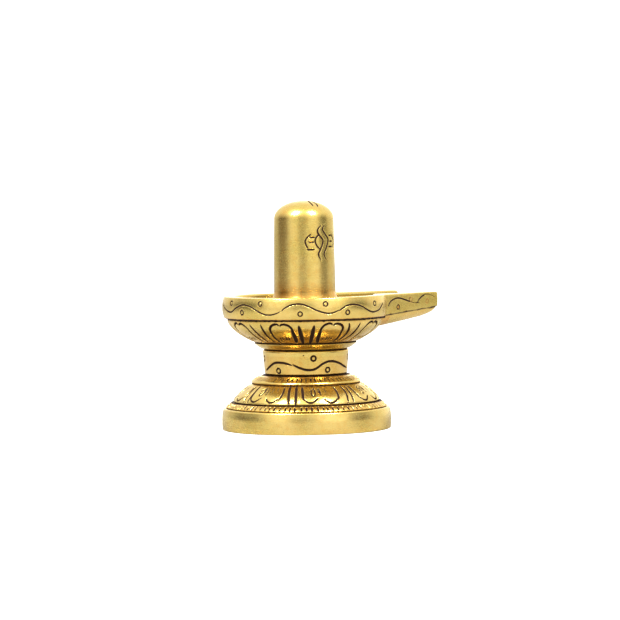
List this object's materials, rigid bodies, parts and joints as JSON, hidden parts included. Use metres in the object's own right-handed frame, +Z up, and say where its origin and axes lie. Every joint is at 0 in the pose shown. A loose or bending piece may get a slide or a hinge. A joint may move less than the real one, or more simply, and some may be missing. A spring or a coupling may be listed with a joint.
{
  "type": "shiva lingam",
  "caption": "Small cast brass shivling: a turned lotus pedestal carries a round basin with a pouring spout, and a domed lingam stands in the basin.",
  "frame": {"origin": "middle of the round foot's underside, on the lingam's axis", "axes": "+Z up along the lingam, +X out along the spout, and the lingam's mark faces -Y"},
  "size_m": [0.0848, 0.064, 0.0861],
  "materials": {
    "brass": "cast, turned and satin polished, with dark residue in the chased lines"
  },
  "bodies": {
    "root": {"shivling": "brass"}
  },
  "joints": []
}
